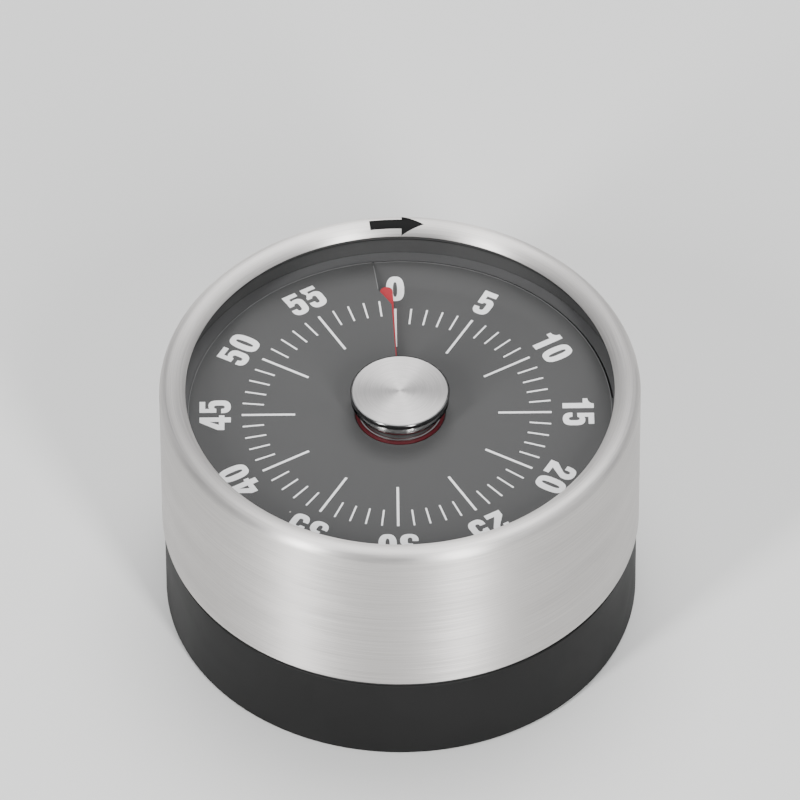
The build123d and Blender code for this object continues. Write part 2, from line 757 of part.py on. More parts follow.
with BuildPart() as click_spring:
    with BuildSketch(Plane.XY.offset(ratchet_level - 0.3)):
        with BuildLine():
            Polyline(
                click_centre + Vector(-5.2, -4.4),
                click_centre + Vector(-4.6, 0.6),
                click_centre + Vector(-4.3, 0.6),
                click_centre + Vector(-4.9, -4.4),
                close=True,
            )
        make_face()
    extrude(amount=1.0)
click_spring.part.label = "click_spring"
export_step(click_spring.part, "parts/click_spring.step")

# ---- second wheel, with its pinion and the strike wheel ------------------------------------
arbor_span = front_plate_top + 0.4 - back_plate_level + 0.4

with BuildPart() as second_arbor:
    with BuildSketch(Plane.XY.offset(back_plate_level - 0.4)):
        with Locations(second_centre):
            Circle(small_arbor)
    extrude(amount=arbor_span)
second_arbor.part.label = "second_arbor"
export_step(second_arbor.part, "parts/second_arbor.step")

second_plane = Plane(origin=(second_centre.X, second_centre.Y, 0))
with BuildPart() as second_pinion:
    with BuildSketch(second_plane.offset(main_level - 0.4)):
        with BuildLine():
            Polyline(*gear_outline(pinion_teeth, phase=180 / pinion_teeth), close=True)
        make_face()
        Circle(small_arbor + press_gap, mode=Mode.SUBTRACT)
    extrude(amount=wheel_thickness + 0.8)
second_pinion.part.label = "second_pinion"
export_step(second_pinion.part, "parts/second_pinion.step")

with BuildPart() as second_wheel:
    with BuildSketch(second_plane.offset(second_level)):
        with BuildLine():
            Polyline(*gear_outline(second_teeth), close=True)
        make_face()
        Circle(small_arbor + press_gap, mode=Mode.SUBTRACT)
        with PolarLocations(second_pitch * 0.6, 4, 45):
            Circle(2.4, mode=Mode.SUBTRACT)
    extrude(amount=wheel_thickness)
second_wheel.part.label = "second_wheel"
export_step(second_wheel.part, "parts/second_wheel.step")

with BuildPart() as strike_wheel:
    with BuildSketch(second_plane.offset(strike_level)):
        with BuildLine():
            Polyline(*saw_outline(strike_teeth, strike_radius, 1.2, 0.7), close=True)
        make_face()
        Circle(small_arbor + press_gap, mode=Mode.SUBTRACT)
    extrude(amount=0.9)
strike_wheel.part.label = "strike_wheel"
export_step(strike_wheel.part, "parts/strike_wheel.step")

# ---- escape wheel, pallets and balance -----------------------------------------------------
escape_plane = Plane(origin=(escape_centre.X, escape_centre.Y, 0))
pallet_plane = Plane(origin=(pallet_centre.X, pallet_centre.Y, 0))

with BuildPart() as escape_arbor:
    with BuildSketch(escape_plane.offset(back_plate_level - 0.4)):
        Circle(small_arbor)
    extrude(amount=arbor_span)
escape_arbor.part.label = "escape_arbor"
export_step(escape_arbor.part, "parts/escape_arbor.step")

with BuildPart() as escape_pinion:
    with BuildSketch(escape_plane.offset(second_level - 0.4)):
        with BuildLine():
            Polyline(*gear_outline(pinion_teeth, phase=180 / pinion_teeth), close=True)
        make_face()
        Circle(small_arbor + press_gap, mode=Mode.SUBTRACT)
    extrude(amount=wheel_thickness + 0.8)
escape_pinion.part.label = "escape_pinion"
export_step(escape_pinion.part, "parts/escape_pinion.step")

with BuildPart() as escape_wheel:
    with BuildSketch(escape_plane.offset(escape_level)):
        with BuildLine():
            Polyline(*saw_outline(escape_teeth, escape_radius, 1.5, 0.6), close=True)
        make_face()
        Circle(small_arbor + press_gap, mode=Mode.SUBTRACT)
    extrude(amount=0.9)
escape_wheel.part.label = "escape_wheel"
export_step(escape_wheel.part, "parts/escape_wheel.step")

# The pallet pins stand off the wheel far enough to stay clear over the whole swing.
pallet_pin = 0.5
pallet_spread = 50.0
pin_reach = escape_radius + pallet_pin + pallet_clearance
pin_side = pallet_distance * cos(radians(pallet_spread))
pallet_arm = pin_side + sqrt(pin_side ** 2 - pallet_distance ** 2 + pin_reach ** 2)
pin_angles = (-45 - pallet_spread, -45 + pallet_spread)

with BuildPart() as pallet_arbor:
    with BuildSketch(pallet_plane.offset(back_plate_level - 0.4)):
        Circle(small_arbor)
    extrude(amount=arbor_span)
pallet_arbor.part.label = "pallet_arbor"
export_step(pallet_arbor.part, "parts/pallet_arbor.step")

with BuildPart() as pallet_lever:
    with BuildSketch(pallet_plane.offset(escape_level + 1.2)):
        Circle(1.8)
        for angle in pin_angles:
            with PolarLocations(pallet_arm / 2, 1, angle):
                SlotOverall(pallet_arm + 1.4, 1.4)
        Circle(small_arbor + press_gap, mode=Mode.SUBTRACT)
    extrude(amount=0.8)
    with BuildSketch(pallet_plane.offset(escape_level - 0.2)):
        for angle in pin_angles:
            with PolarLocations(pallet_arm, 1, angle):
                Circle(pallet_pin)
    extrude(amount=1.6)
pallet_lever.part.label = "pallet_lever"
export_step(pallet_lever.part, "parts/pallet_lever.step")

with BuildPart() as balance_wheel:
    with BuildSketch(pallet_plane.offset(balance_level)):
        Circle(balance_radius)
        Circle(balance_radius - 1.2, mode=Mode.SUBTRACT)
        Rectangle(2 * balance_radius - 1.2, 1.4)
        Circle(1.5)
        Circle(small_arbor + press_gap, mode=Mode.SUBTRACT)
    extrude(amount=1.0)
balance_wheel.part.label = "balance_wheel"
export_step(balance_wheel.part, "parts/balance_wheel.step")

# ---- bell hammer ---------------------------------------------------------------------------
hammer_plane = Plane(origin=(hammer_centre.X, hammer_centre.Y, 0))
hammer_head_radius = 1.8
hammer_gap = 0.45
hammer_circle = bell_radius - bell_wall - hammer_gap - hammer_head_radius
hammer_turn = 24.0
hammer_direction = hammer_centre.normalized().rotate(Axis.Z, -hammer_turn)
hammer_end = hammer_direction * hammer_circle - hammer_centre
hammer_middle = hammer_end * 0.5
hammer_angle = Vector(1, 0).get_signed_angle(hammer_end, Vector(0, 0, 1))
tail_way = second_centre - hammer_centre
tail_end = tail_way.normalized() * (tail_way.length - strike_radius - clear_gap)
tail_angle = Vector(1, 0).get_signed_angle(tail_end, Vector(0, 0, 1))

with BuildPart() as hammer_arbor:
    with BuildSketch(hammer_plane.offset(hammer_level)):
        Circle(small_arbor)
    extrude(amount=front_plate_top + 0.4 - hammer_level)
hammer_arbor.part.label = "hammer_arbor"
export_step(hammer_arbor.part, "parts/hammer_arbor.step")

with BuildPart() as hammer_arm:
    with BuildSketch(hammer_plane.offset(hammer_level)):
        Circle(1.6)
        with Locations(hammer_middle):
            SlotOverall(hammer_end.length + 1, 1.4, rotation=hammer_angle)
        Circle(small_arbor + press_gap, mode=Mode.SUBTRACT)
        with Locations(hammer_end):
            Circle(hammer_head_radius + press_gap, mode=Mode.SUBTRACT)
    extrude(amount=1.0)
hammer_arm.part.label = "hammer_arm"
export_step(hammer_arm.part, "parts/hammer_arm.step")

with BuildPart() as hammer_head:
    with BuildSketch(hammer_plane.offset(hammer_level - 1.2)):
        with Locations(hammer_end):
            Circle(hammer_head_radius)
    extrude(amount=3.4)
hammer_head.part.label = "hammer_head"
export_step(hammer_head.part, "parts/hammer_head.step")

with BuildPart() as hammer_tail:
    with BuildSketch(hammer_plane.offset(strike_level)):
        Circle(1.6)
        with Locations(tail_end * 0.5):
            SlotOverall(tail_end.length, 1.2, rotation=tail_angle)
        Circle(small_arbor + press_gap, mode=Mode.SUBTRACT)
    extrude(amount=0.9)
hammer_tail.part.label = "hammer_tail"
export_step(hammer_tail.part, "parts/hammer_tail.step")

# ---- detent lever, which drops into the cam's notch at 0 -----------------------------------
detent_plane = Plane(origin=(detent_centre.X, detent_centre.Y, 0))
nose_width = 1.2
nose_gap = 0.15             # nose, clear of the cam
nose_length = -cam_radius - nose_gap - detent_centre.X

with BuildPart() as detent_stud:
    with BuildSketch(detent_plane.offset(cam_level - 0.4)):
        Circle(small_arbor)
    extrude(amount=front_plate_top - cam_level + 0.4)
detent_stud.part.label = "detent_stud"
export_step(detent_stud.part, "parts/detent_stud.step")

with BuildPart() as detent_lever:
    with BuildSketch(detent_plane.offset(cam_level + 0.1)):
        Circle(1.5)
        with Locations((0, -detent_centre.Y / 2)):
            SlotOverall(detent_centre.Y + nose_width, nose_width, rotation=90)
        with Locations((nose_length / 2, -detent_centre.Y)):
            Rectangle(nose_length, nose_width)
        Circle(small_arbor + running_gap, mode=Mode.SUBTRACT)
    extrude(amount=0.8)
detent_lever.part.label = "detent_lever"
export_step(detent_lever.part, "parts/detent_lever.step")
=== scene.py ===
# %% [markdown]
# # A one-hour twist timer
# The object is a spun steel shell over a dark moulded base, with a printed dial under a
# clear lens. A red disc climbs through a slit in the dial as the shell is wound. The sizes
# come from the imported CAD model, which is loaded first and stays where it is; this file
# adds the finishes and the fine surfaces around it.

import bpy
import numpy as np
from mathutils.geometry import tessellate_polygon
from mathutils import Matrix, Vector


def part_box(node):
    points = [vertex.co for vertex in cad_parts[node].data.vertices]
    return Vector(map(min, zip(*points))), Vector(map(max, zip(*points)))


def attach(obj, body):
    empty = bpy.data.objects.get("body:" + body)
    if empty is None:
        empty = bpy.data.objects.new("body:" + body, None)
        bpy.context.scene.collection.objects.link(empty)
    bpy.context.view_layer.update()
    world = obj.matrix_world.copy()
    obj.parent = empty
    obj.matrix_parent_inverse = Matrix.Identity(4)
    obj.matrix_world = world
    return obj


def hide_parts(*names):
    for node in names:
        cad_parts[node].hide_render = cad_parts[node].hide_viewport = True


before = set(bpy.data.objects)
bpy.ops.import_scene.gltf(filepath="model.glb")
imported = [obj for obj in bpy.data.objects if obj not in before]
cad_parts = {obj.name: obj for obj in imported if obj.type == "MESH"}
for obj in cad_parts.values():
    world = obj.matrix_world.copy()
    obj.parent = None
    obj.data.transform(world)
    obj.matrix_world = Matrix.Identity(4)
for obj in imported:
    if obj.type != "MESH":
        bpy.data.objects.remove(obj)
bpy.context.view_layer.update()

mm = 0.001

# %% [markdown]
# ## Putting worked-out points into a mesh
# Every new piece here is an array of points and an array of corner numbers. Blender could
# also build them with modifiers, but arrays keep each size exact and easy to read. A closed
# surface has to face outwards, and its signed volume says whether it does: the volume comes
# out negative when the faces are inside out, and then each one is turned over.

# %% Mesh helper
def make_piece(name, points, faces, body, finish, slot, sharp=32):
    """New piece riding on a body. Its volume is a sixth of the sum of all triple products."""
    corners = [list(face) for face in faces]
    fan = np.array([(f[0], f[i], f[i + 1]) for f in corners for i in range(1, len(f) - 1)])
    a, b, c = points[fan[:, 0]], points[fan[:, 1]], points[fan[:, 2]]
    if np.einsum("ij,ij->i", a, np.cross(b, c)).sum() < 0:
        corners = [face[::-1] for face in corners]
    mesh = bpy.data.meshes.new(name)
    mesh.from_pydata((points * mm).tolist(), [], corners)
    mesh.polygons.foreach_set("use_smooth", np.ones(len(corners), bool))
    mesh.set_sharp_from_angle(angle=np.radians(sharp))
    mesh.materials.append(finish)
    made = bpy.data.objects.new(name, mesh)
    bpy.context.scene.collection.objects.link(made)
    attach(made, body)
    print(name, len(points), "points,", len(corners), "faces")
    return made


# %% [markdown]
# ## Turned shapes
# The shell, the neck, the cap and the seal are all round, as if turned on a lathe. Such a
# shape is a profile, a list of distances from the axis and heights, carried once round the
# axis. Real edges are never knife sharp, so each corner of a profile gets a small arc.

# %% Profiles and turning
def rounded(corners, radii, steps=6):
    """Closed outline with arcs at its corners.

    An arc starts and ends at its radius over the tangent of half the corner.
    """
    corners = np.array(corners, float)
    radii = np.broadcast_to(np.array(radii, float), len(corners))[:, None]
    back = np.roll(corners, 1, axis=0) - corners
    ahead = np.roll(corners, -1, axis=0) - corners
    back /= np.linalg.norm(back, axis=1, keepdims=True)
    ahead /= np.linalg.norm(ahead, axis=1, keepdims=True)
    half = np.arccos(np.clip((back * ahead).sum(1, keepdims=True), -1, 1)) / 2
    middle = (back + ahead) / np.maximum(np.linalg.norm(back + ahead, axis=1, keepdims=True), 1e-9)
    centre = corners + middle * radii / np.sin(half)
    first = corners + back * radii / np.tan(half) - centre
    last = corners + ahead * radii / np.tan(half) - centre
    sweep = np.pi - 2 * half
    share = np.linspace(0, 1, steps)[None, :, None]
    blend = (np.sin((1 - share) * sweep[:, None]) * first[:, None]
             + np.sin(share * sweep[:, None]) * last[:, None])
    path = (centre[:, None] + blend / np.maximum(np.sin(sweep[:, None]), 1e-9)).reshape(-1, 2)
    return path[np.linalg.norm(path - np.roll(path, 1, axis=0), axis=1) > 1e-6]


def bow(centre, size, start, stop, power=2.0, count=12):
    """Arc of a superellipse: the angle's cosine and sine to two over the power, times its size."""
    angle = np.radians(np.linspace(start, stop, count))
    c, s = np.cos(angle), np.sin(angle)
    curve = np.stack([np.sign(c) * np.abs(c) ** (2 / power), np.sign(s) * np.abs(s) ** (2 / power)],
                     1)
    return np.array(centre) + np.array(size) * curve


def ring_faces(around, along):
    """Corner numbers of a grid that closes on itself in both directions."""
    i, j = np.meshgrid(np.arange(around), np.arange(along), indexing="ij")
    i2, j2 = (i + 1) % around, (j + 1) % along
    return np.stack([i * along + j, i2 * along + j, i2 * along + j2, i * along + j2],
                    -1).reshape(-1, 4)


def turned(profile, around=360):
    """Points at radius times cosine and sine of the angle, at the profile's height."""
    angle = np.linspace(0, 2 * np.pi, around, endpoint=False)[:, None]
    radius, height = profile[None, :, 0], profile[None, :, 1]
    points = np.stack([radius * np.cos(angle), radius * np.sin(angle), height + 0 * angle], -1)
    return points.reshape(-1, 3), ring_faces(around, len(profile))


print("a quarter bend has", len(rounded([(0, 0), (9, 0), (9, 9), (0, 9)], 1)), "points")

# %% [markdown]
# ## Shared surface effects
# Brushed metal is thousands of hair-thin scratches that all run one way. On a turned part
# they run round the axis. A noise pattern gives them when its third coordinate is packed
# tightly across the scratches and hardly changes along them. The direction round the axis
# goes in as a cosine and a sine, so the pattern has no seam.

# %% Node helpers
def add(tree, kind, inputs=(), **settings):
    """New node with its settings, and its inputs given as numbers or as other nodes' outputs."""
    made = tree.nodes.new(kind)
    for key, value in settings.items():
        setattr(made, key, value)
    for key, value in dict(inputs).items():
        if isinstance(value, bpy.types.NodeSocket):
            tree.links.new(value, made.inputs[key])
        else:
            made.inputs[key].default_value = value
    return made


def maths(tree, operation, *values):
    """Output of one Math node."""
    return add(tree, "ShaderNodeMath", dict(enumerate(values)), operation=operation).outputs[0]


def effect(name, inputs, outputs):
    """Empty node group with named inputs, their usual values, and named outputs."""
    tree = bpy.data.node_groups.new(name, "ShaderNodeTree")
    for title, kind, usual in inputs:
        made = tree.interface.new_socket(title, in_out="INPUT", socket_type=kind)
        if usual is not None:
            made.default_value = usual
    for title, kind in outputs:
        tree.interface.new_socket(title, in_out="OUTPUT", socket_type=kind)
    return tree, tree.nodes.new("NodeGroupInput").outputs, tree.nodes.new("NodeGroupOutput").inputs


NUMBER, VECTOR = "NodeSocketFloat", "NodeSocketVector"

# %% Lines of a turned or spun surface
lines, given, result = effect(
    "turned_lines",
    [("Place", VECTOR, None), ("Across", NUMBER, 6000.0), ("Along", NUMBER, 3.0),
     ("Patches", NUMBER, 40.0)],
    [("Lines", NUMBER), ("Broad", NUMBER)],
)
place = add(lines, "ShaderNodeSeparateXYZ", {0: given["Place"]}).outputs
radius = maths(lines, "SQRT", maths(lines, "ADD", maths(lines, "MULTIPLY", place[0], place[0]),
                                    maths(lines, "MULTIPLY", place[1], place[1])))
least_radius, radius_share = 1e-5, 1.31
safe = maths(lines, "MAXIMUM", radius, least_radius)
over = maths(lines, "ADD", place[2], maths(lines, "MULTIPLY", radius, radius_share))
turn_x = maths(lines, "MULTIPLY", maths(lines, "DIVIDE", place[0], safe), given["Along"])
turn_y = maths(lines, "MULTIPLY", maths(lines, "DIVIDE", place[1], safe), given["Along"])
for title, tightness, detail in (("Lines", "Across", 3.0), ("Broad", "Patches", 1.0)):
    where = add(lines, "ShaderNodeCombineXYZ",
                {0: turn_x, 1: turn_y, 2: maths(lines, "MULTIPLY", over, given[tightness])})
    noise = add(lines, "ShaderNodeTexNoise",
                {"Vector": where.outputs[0], "Scale": 1.0, "Detail": detail})
    lines.links.new(noise.outputs["Fac"], result[title])
print(lines.name, "has", len(lines.nodes), "nodes")

# %% [markdown]
# Moulded plastic, paint and rubber share a fine pebble from the mould or the spray, and
# everything that is handled picks up faint smears and a few dust specks. The grain is noise
# at two sizes; the specks are the middles of scattered cells, kept only where a second
# noise is high, so that they fall in loose groups.

# %% Grain, smears and dust
grain, given, result = effect(
    "pebble",
    [("Place", VECTOR, None), ("Size", NUMBER, 4000.0), ("Smear", NUMBER, 60.0)],
    [("Grain", NUMBER), ("Smears", NUMBER)],
)
fine = add(grain, "ShaderNodeTexNoise",
           {"Vector": given["Place"], "Scale": given["Size"], "Detail": 2.0})
broad = add(grain, "ShaderNodeTexNoise",
            {"Vector": given["Place"], "Scale": given["Smear"], "Detail": 4.0, "Distortion": 0.6})
grain.links.new(fine.outputs["Fac"], result["Grain"])
grain.links.new(broad.outputs["Fac"], result["Smears"])

dust, given, result = effect(
    "dust",
    [("Place", VECTOR, None), ("Spacing", NUMBER, 260.0), ("Speck", NUMBER, 0.05),
     ("Share", NUMBER, 0.62)],
    [("Dust", NUMBER)],
)
cells = add(dust, "ShaderNodeTexVoronoi",
            {"Vector": given["Place"], "Scale": given["Spacing"], "Randomness": 1.0})
groups = add(dust, "ShaderNodeTexNoise", {"Vector": given["Place"], "Scale": 90.0, "Detail": 2.0})
near = maths(dust, "LESS_THAN", cells.outputs["Distance"], given["Speck"])
dust.links.new(maths(dust, "MULTIPLY", near,
                     maths(dust, "GREATER_THAN", groups.outputs["Fac"], given["Share"])),
               result["Dust"])
print("effects:", [group.name for group in bpy.data.node_groups])


# %% [markdown]
# ## Finishes
# Each kind of surface is one function, so that brass, steel and plastic differ only in the
# numbers given to it. Metals are wholly metallic and get their look from roughness; paint,
# plastic and rubber are not metallic and get theirs from colour and grain.

# %% Metal
def shade_mix(tree, share, dark, light):
    """Colour between two, by a number from 0 to 1."""
    mix = add(tree, "ShaderNodeMix", data_type="RGBA")
    for socket, value in ((mix.inputs[0], share), (mix.inputs[6], (*dark, 1)),
                          (mix.inputs[7], (*light, 1))):
        if isinstance(value, bpy.types.NodeSocket):
            tree.links.new(value, socket)
        else:
            socket.default_value = value
    return mix.outputs[2]


def new_finish(name, **constants):
    """Material with one Principled shader, its constants set, and the piece's own coordinates."""
    made = bpy.data.materials.new(name)
    made.use_nodes = True
    tree = made.node_tree
    shader = tree.nodes["Principled BSDF"]
    for key, value in constants.items():
        shader.inputs[key.replace("_", " ")].default_value = value
    return made, tree, shader, add(tree, "ShaderNodeTexCoord").outputs["Object"]


def use(tree, group, place, **values):
    """One shared effect placed in a material with its own values."""
    made = add(tree, "ShaderNodeGroup", node_tree=group)
    tree.links.new(place, made.inputs["Place"])
    for key, value in values.items():
        made.inputs[key].default_value = value
    return made.outputs


def raise_bumps(tree, shader, height, distance):
    """Bump node from a height of 0 to 1 that stands for this many metres."""
    bump = add(tree, "ShaderNodeBump", {"Height": height, "Distance": distance})
    tree.links.new(bump.outputs[0], shader.inputs["Normal"])


noise_low, noise_high = 0.3, 0.7


def spread(tree, value, low, high):
    """Noise, which keeps between its own low and high, moved to another range."""
    inputs = {0: value, 1: noise_low, 2: noise_high, 3: low, 4: high}
    return add(tree, "ShaderNodeMapRange", inputs).outputs[0]


def turned_metal(name, dark, light, rough, stretch=0.0, depth=2e-6, across=6000.0, along=3.0,
                 patches=40.0):
    """Metal with scratches round the axis: they change its colour, roughness and height."""
    made, tree, shader, place = new_finish(name, Metallic=1.0, Anisotropic=stretch,
                                           Anisotropic_Rotation=0.25)
    marks = use(tree, lines, place, Across=across, Along=along, Patches=patches)
    tree.links.new(shade_mix(tree, spread(tree, marks["Lines"], 0, 1), dark, light),
                   shader.inputs["Base Color"])
    both = maths(tree, "ADD", maths(tree, "MULTIPLY", marks["Lines"], 0.7),
                 maths(tree, "MULTIPLY", marks["Broad"], 0.3))
    tree.links.new(spread(tree, both, rough * 0.82, rough * 1.2), shader.inputs["Roughness"])
    if stretch:
        tangent = add(tree, "ShaderNodeTangent", direction_type="RADIAL", axis="Z")
        tree.links.new(tangent.outputs[0], shader.inputs["Tangent"])
    raise_bumps(tree, shader, marks["Lines"], depth)
    return made


def plain_metal(name, dark, light, rough, depth=1.5e-6, size=2500.0):
    """Rolled, plated or stamped metal: a fine even grain, and smears left by handling."""
    made, tree, shader, place = new_finish(name, Metallic=1.0)
    marks = use(tree, grain, place, Size=size, Smear=120.0)
    tree.links.new(shade_mix(tree, spread(tree, marks["Smears"], 0, 1), dark, light),
                   shader.inputs["Base Color"])
    tree.links.new(spread(tree, marks["Smears"], rough * 0.8, rough * 1.3),
                   shader.inputs["Roughness"])
    raise_bumps(tree, shader, marks["Grain"], depth)
    return made


# %% Plastic, paint and rubber
def moulded(name, dark, light, rough, depth=4e-6, size=3500.0, specks=0.0, sheen=0.5):
    """Surface with pebble grain, faint smears in gloss and colour, and dust if specks is above 0."""
    made, tree, shader, place = new_finish(name, Specular_IOR_Level=sheen)
    marks = use(tree, grain, place, Size=size, Smear=70.0)
    colour = shade_mix(tree, spread(tree, marks["Smears"], 0, 1), dark, light)
    rub = spread(tree, marks["Smears"], rough * 0.9, rough * 1.12)
    if specks:
        fallen = use(tree, dust, place, Speck=specks)["Dust"]
        mix = add(tree, "ShaderNodeMix", data_type="RGBA")
        tree.links.new(fallen, mix.inputs[0])
        tree.links.new(colour, mix.inputs[6])
        mix.inputs[7].default_value = (0.5, 0.48, 0.45, 1)
        colour = mix.outputs[2]
    tree.links.new(colour, shader.inputs["Base Color"])
    tree.links.new(rub, shader.inputs["Roughness"])
    raise_bumps(tree, shader, marks["Grain"], depth)
    return made


# %% [markdown]
# ## The finishes of this timer
# The shell is stainless sheet, brushed round and round after spinning, so its highlights
# smear up and down. The movement inside is stamped brass and turned steel. The lens is a
# flat plastic window: a low alpha and a nearly black base colour leave only its gloss, with
# no haze over the dial.

# %% One finish for each material slot
finishes = {
    "brushed_steel": turned_metal("brushed_shell_steel", (0.55, 0.532, 0.518), (0.71, 0.688, 0.67),
                                  0.46, 0.88, depth=3e-6, across=5200.0, along=2.2, patches=260.0),
    "cap_metal": turned_metal("spun_cap_metal", (0.38, 0.368, 0.364), (0.51, 0.495, 0.49), 0.37,
                              0.82, depth=4e-6, across=7000.0, along=1.2, patches=900.0),
    "polished_metal": turned_metal("polished_neck_metal", (0.46, 0.455, 0.45), (0.54, 0.535, 0.53),
                                   0.16, depth=3e-7, across=5000.0),
    "dark_plastic": moulded("dark_base_plastic", (0.006, 0.006, 0.006), (0.009, 0.009, 0.009), 0.55,
                            1.5e-6, 2600.0, sheen=0.15),
    "grey_plastic": moulded("grey_carrier_plastic", (0.110, 0.110, 0.111), (0.124, 0.124, 0.125),
                            0.55, 8e-7, sheen=0.3),
    "foot_rubber": moulded("foot_rubber_black", (0.016, 0.016, 0.016), (0.024, 0.024, 0.024), 0.75,
                           8e-6, 2200.0),
    "black_rubber": moulded("seal_rubber_black", (0.007, 0.007, 0.007), (0.012, 0.012, 0.012), 0.6,
                            5e-6),
    "black_nylon": moulded("washer_nylon_black", (0.010, 0.010, 0.010), (0.016, 0.016, 0.016), 0.42,
                           3e-6),
    "magnet_ferrite": moulded("magnet_ferrite_grey", (0.030, 0.030, 0.033), (0.055, 0.055, 0.060),
                              0.55, 9e-6, 1800.0),
    "plated_steel": plain_metal("zinc_plated_steel", (0.52, 0.53, 0.54), (0.64, 0.65, 0.66), 0.30),
    "screw_steel": plain_metal("screw_steel_plated", (0.44, 0.44, 0.45), (0.60, 0.60, 0.61), 0.27),
    "arbor_steel": turned_metal("turned_arbor_steel", (0.50, 0.50, 0.51), (0.66, 0.66, 0.67), 0.20,
                                depth=1e-6),
    "spring_steel": plain_metal("blued_spring_steel", (0.16, 0.18, 0.24), (0.27, 0.29, 0.34), 0.24),
    "bell_steel": turned_metal("bell_nickel_steel", (0.62, 0.61, 0.58), (0.72, 0.71, 0.68), 0.16,
                               depth=8e-7, across=3000.0),
    "plate_brass": plain_metal("stamped_plate_brass", (0.62, 0.44, 0.19), (0.74, 0.54, 0.25), 0.30,
                               2e-6, 1800.0),
    "wheel_brass": turned_metal("cut_wheel_brass", (0.66, 0.48, 0.20), (0.80, 0.60, 0.28), 0.24,
                                depth=1e-6),
    "bush_brass": turned_metal("turned_bush_brass", (0.60, 0.42, 0.18), (0.76, 0.56, 0.26), 0.22,
                               depth=1e-6),
    "dial_foil": moulded("dial_grey_paint", (0.069, 0.069, 0.069), (0.077, 0.077, 0.077), 0.6, 4e-7,
                         5000.0, 0.035, 0.25),
    "red_film": moulded("red_disc_film", (0.36, 0.022, 0.032), (0.41, 0.028, 0.04), 0.5, 2e-7,
                        5000.0, 0.03, 0.2),
}

window, tree, shader, place = new_finish("clear_window", Alpha=0.03, IOR=1.49)
marks = use(tree, grain, place, Size=900.0, Smear=50.0)
tree.links.new(shade_mix(tree, marks["Smears"], (0.008, 0.008, 0.008), (0.02, 0.02, 0.02)),
               shader.inputs["Base Color"])
tree.links.new(spread(tree, marks["Smears"], 0.03, 0.10), shader.inputs["Roughness"])
finishes["clear_lens"] = window

light_ink = moulded("light_dial_ink", (0.93, 0.93, 0.93), (0.98, 0.98, 0.98), 0.5, 1e-6, 6000.0)
dark_ink = moulded("dark_rim_ink", (0.004, 0.004, 0.004), (0.008, 0.008, 0.008), 0.6, 1e-6, 6000.0,
                   sheen=0.1)
well_grey = moulded("well_wall_grey", (0.048, 0.048, 0.048), (0.058, 0.058, 0.058), 0.55, 6e-7,
                    sheen=0.3)
flange_red = moulded("dark_flange_red", (0.075, 0.006, 0.010), (0.095, 0.008, 0.013), 0.5, 2e-7,
                     5000.0, sheen=0.25)

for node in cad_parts.values():
    slot_name = node.material_slots[0].material.name.split(".")[0]
    node.material_slots[0].material = finishes[slot_name]
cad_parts["disc_hub"].material_slots[0].material = flange_red
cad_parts["inner_sleeve"].material_slots[0].material = well_grey
print("finished", len(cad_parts), "nodes from", len(finishes), "finishes")

# %% [markdown]
# ## The steel shell
# On the real timer the shell is a disc of stainless sheet, spun over a former and rolled
# inwards at the top to hold the lens. It could be a thick cylinder with a bevel, but the
# rolled rim has two different curves: a wide one outside and a tighter one that dives to
# the lens. The profile below follows both, with the thickness of the sheet between them.

# %% Steel shell
low, high = (np.array(corner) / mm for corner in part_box("steel_shell"))
shell_radius, shell_bottom, shell_top = high[0], low[2], high[2]
sheet_steel = 0.8
rim_round = 1.8
crest = shell_radius - rim_round
rim_width, lip_drop = 4.4, 1.4
lip_reach = rim_width - rim_round
lip_round = (lip_reach ** 2 + lip_drop ** 2) / (2 * lip_drop)
lip_angle = 180 - np.degrees(np.arcsin((lip_round - lip_drop) / lip_round))
outer_rim = bow((crest, shell_top - rim_round), rim_round, 0, 90, count=20)
outer_lip = bow((crest, shell_top - lip_round), lip_round, 90, lip_angle, count=16)[1:]
inner_lip = bow((crest, shell_top - lip_round), lip_round - sheet_steel, lip_angle, 90, count=12)
inner_rim = bow((crest, shell_top - rim_round), rim_round - sheet_steel, 90, 0, count=16)[1:]
wall_levels = np.linspace(shell_bottom + 1, shell_top - rim_round - 1, 5)
wall_out = np.stack([0 * wall_levels + shell_radius, wall_levels], 1)
wall_in = np.stack([0 * wall_levels + shell_radius - sheet_steel, wall_levels[::-1]], 1)
foot_of_wall = [(shell_radius - sheet_steel, shell_bottom), (shell_radius, shell_bottom)]
outline = np.concatenate([wall_out, outer_rim, outer_lip, inner_lip, inner_rim, wall_in,
                          foot_of_wall])
edge = np.zeros(len(outline))
lip_end = len(wall_out) + len(outer_rim) + len(outer_lip)
edge[[lip_end - 1, lip_end]] = 0.12
edge[-2:] = 0.18
shell = make_piece("spun_shell", *turned(rounded(outline, edge, 5), 480), "turning_case",
                   finishes["brushed_steel"], "brushed_steel")
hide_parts("steel_shell")

# %% [markdown]
# ## The seal under the rim
# A thin black ring keeps dust out between the rim and the lens. From above only its inner
# edge shows, as a dark line round the dial, so its corners are worth rounding.

# %% Seal
low, high = (np.array(corner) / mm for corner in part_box("lens_gasket"))
seal_outer, seal_width, seal_edge = high[0], 2.6, 0.2
seal = rounded([(seal_outer - seal_width, low[2]), (seal_outer, low[2]), (seal_outer, high[2]),
                (seal_outer - seal_width, high[2])], seal_edge)
seal = make_piece("rim_seal", *turned(seal, 360), "turning_case", finishes["black_rubber"],
                  "black_rubber")
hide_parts("lens_gasket")
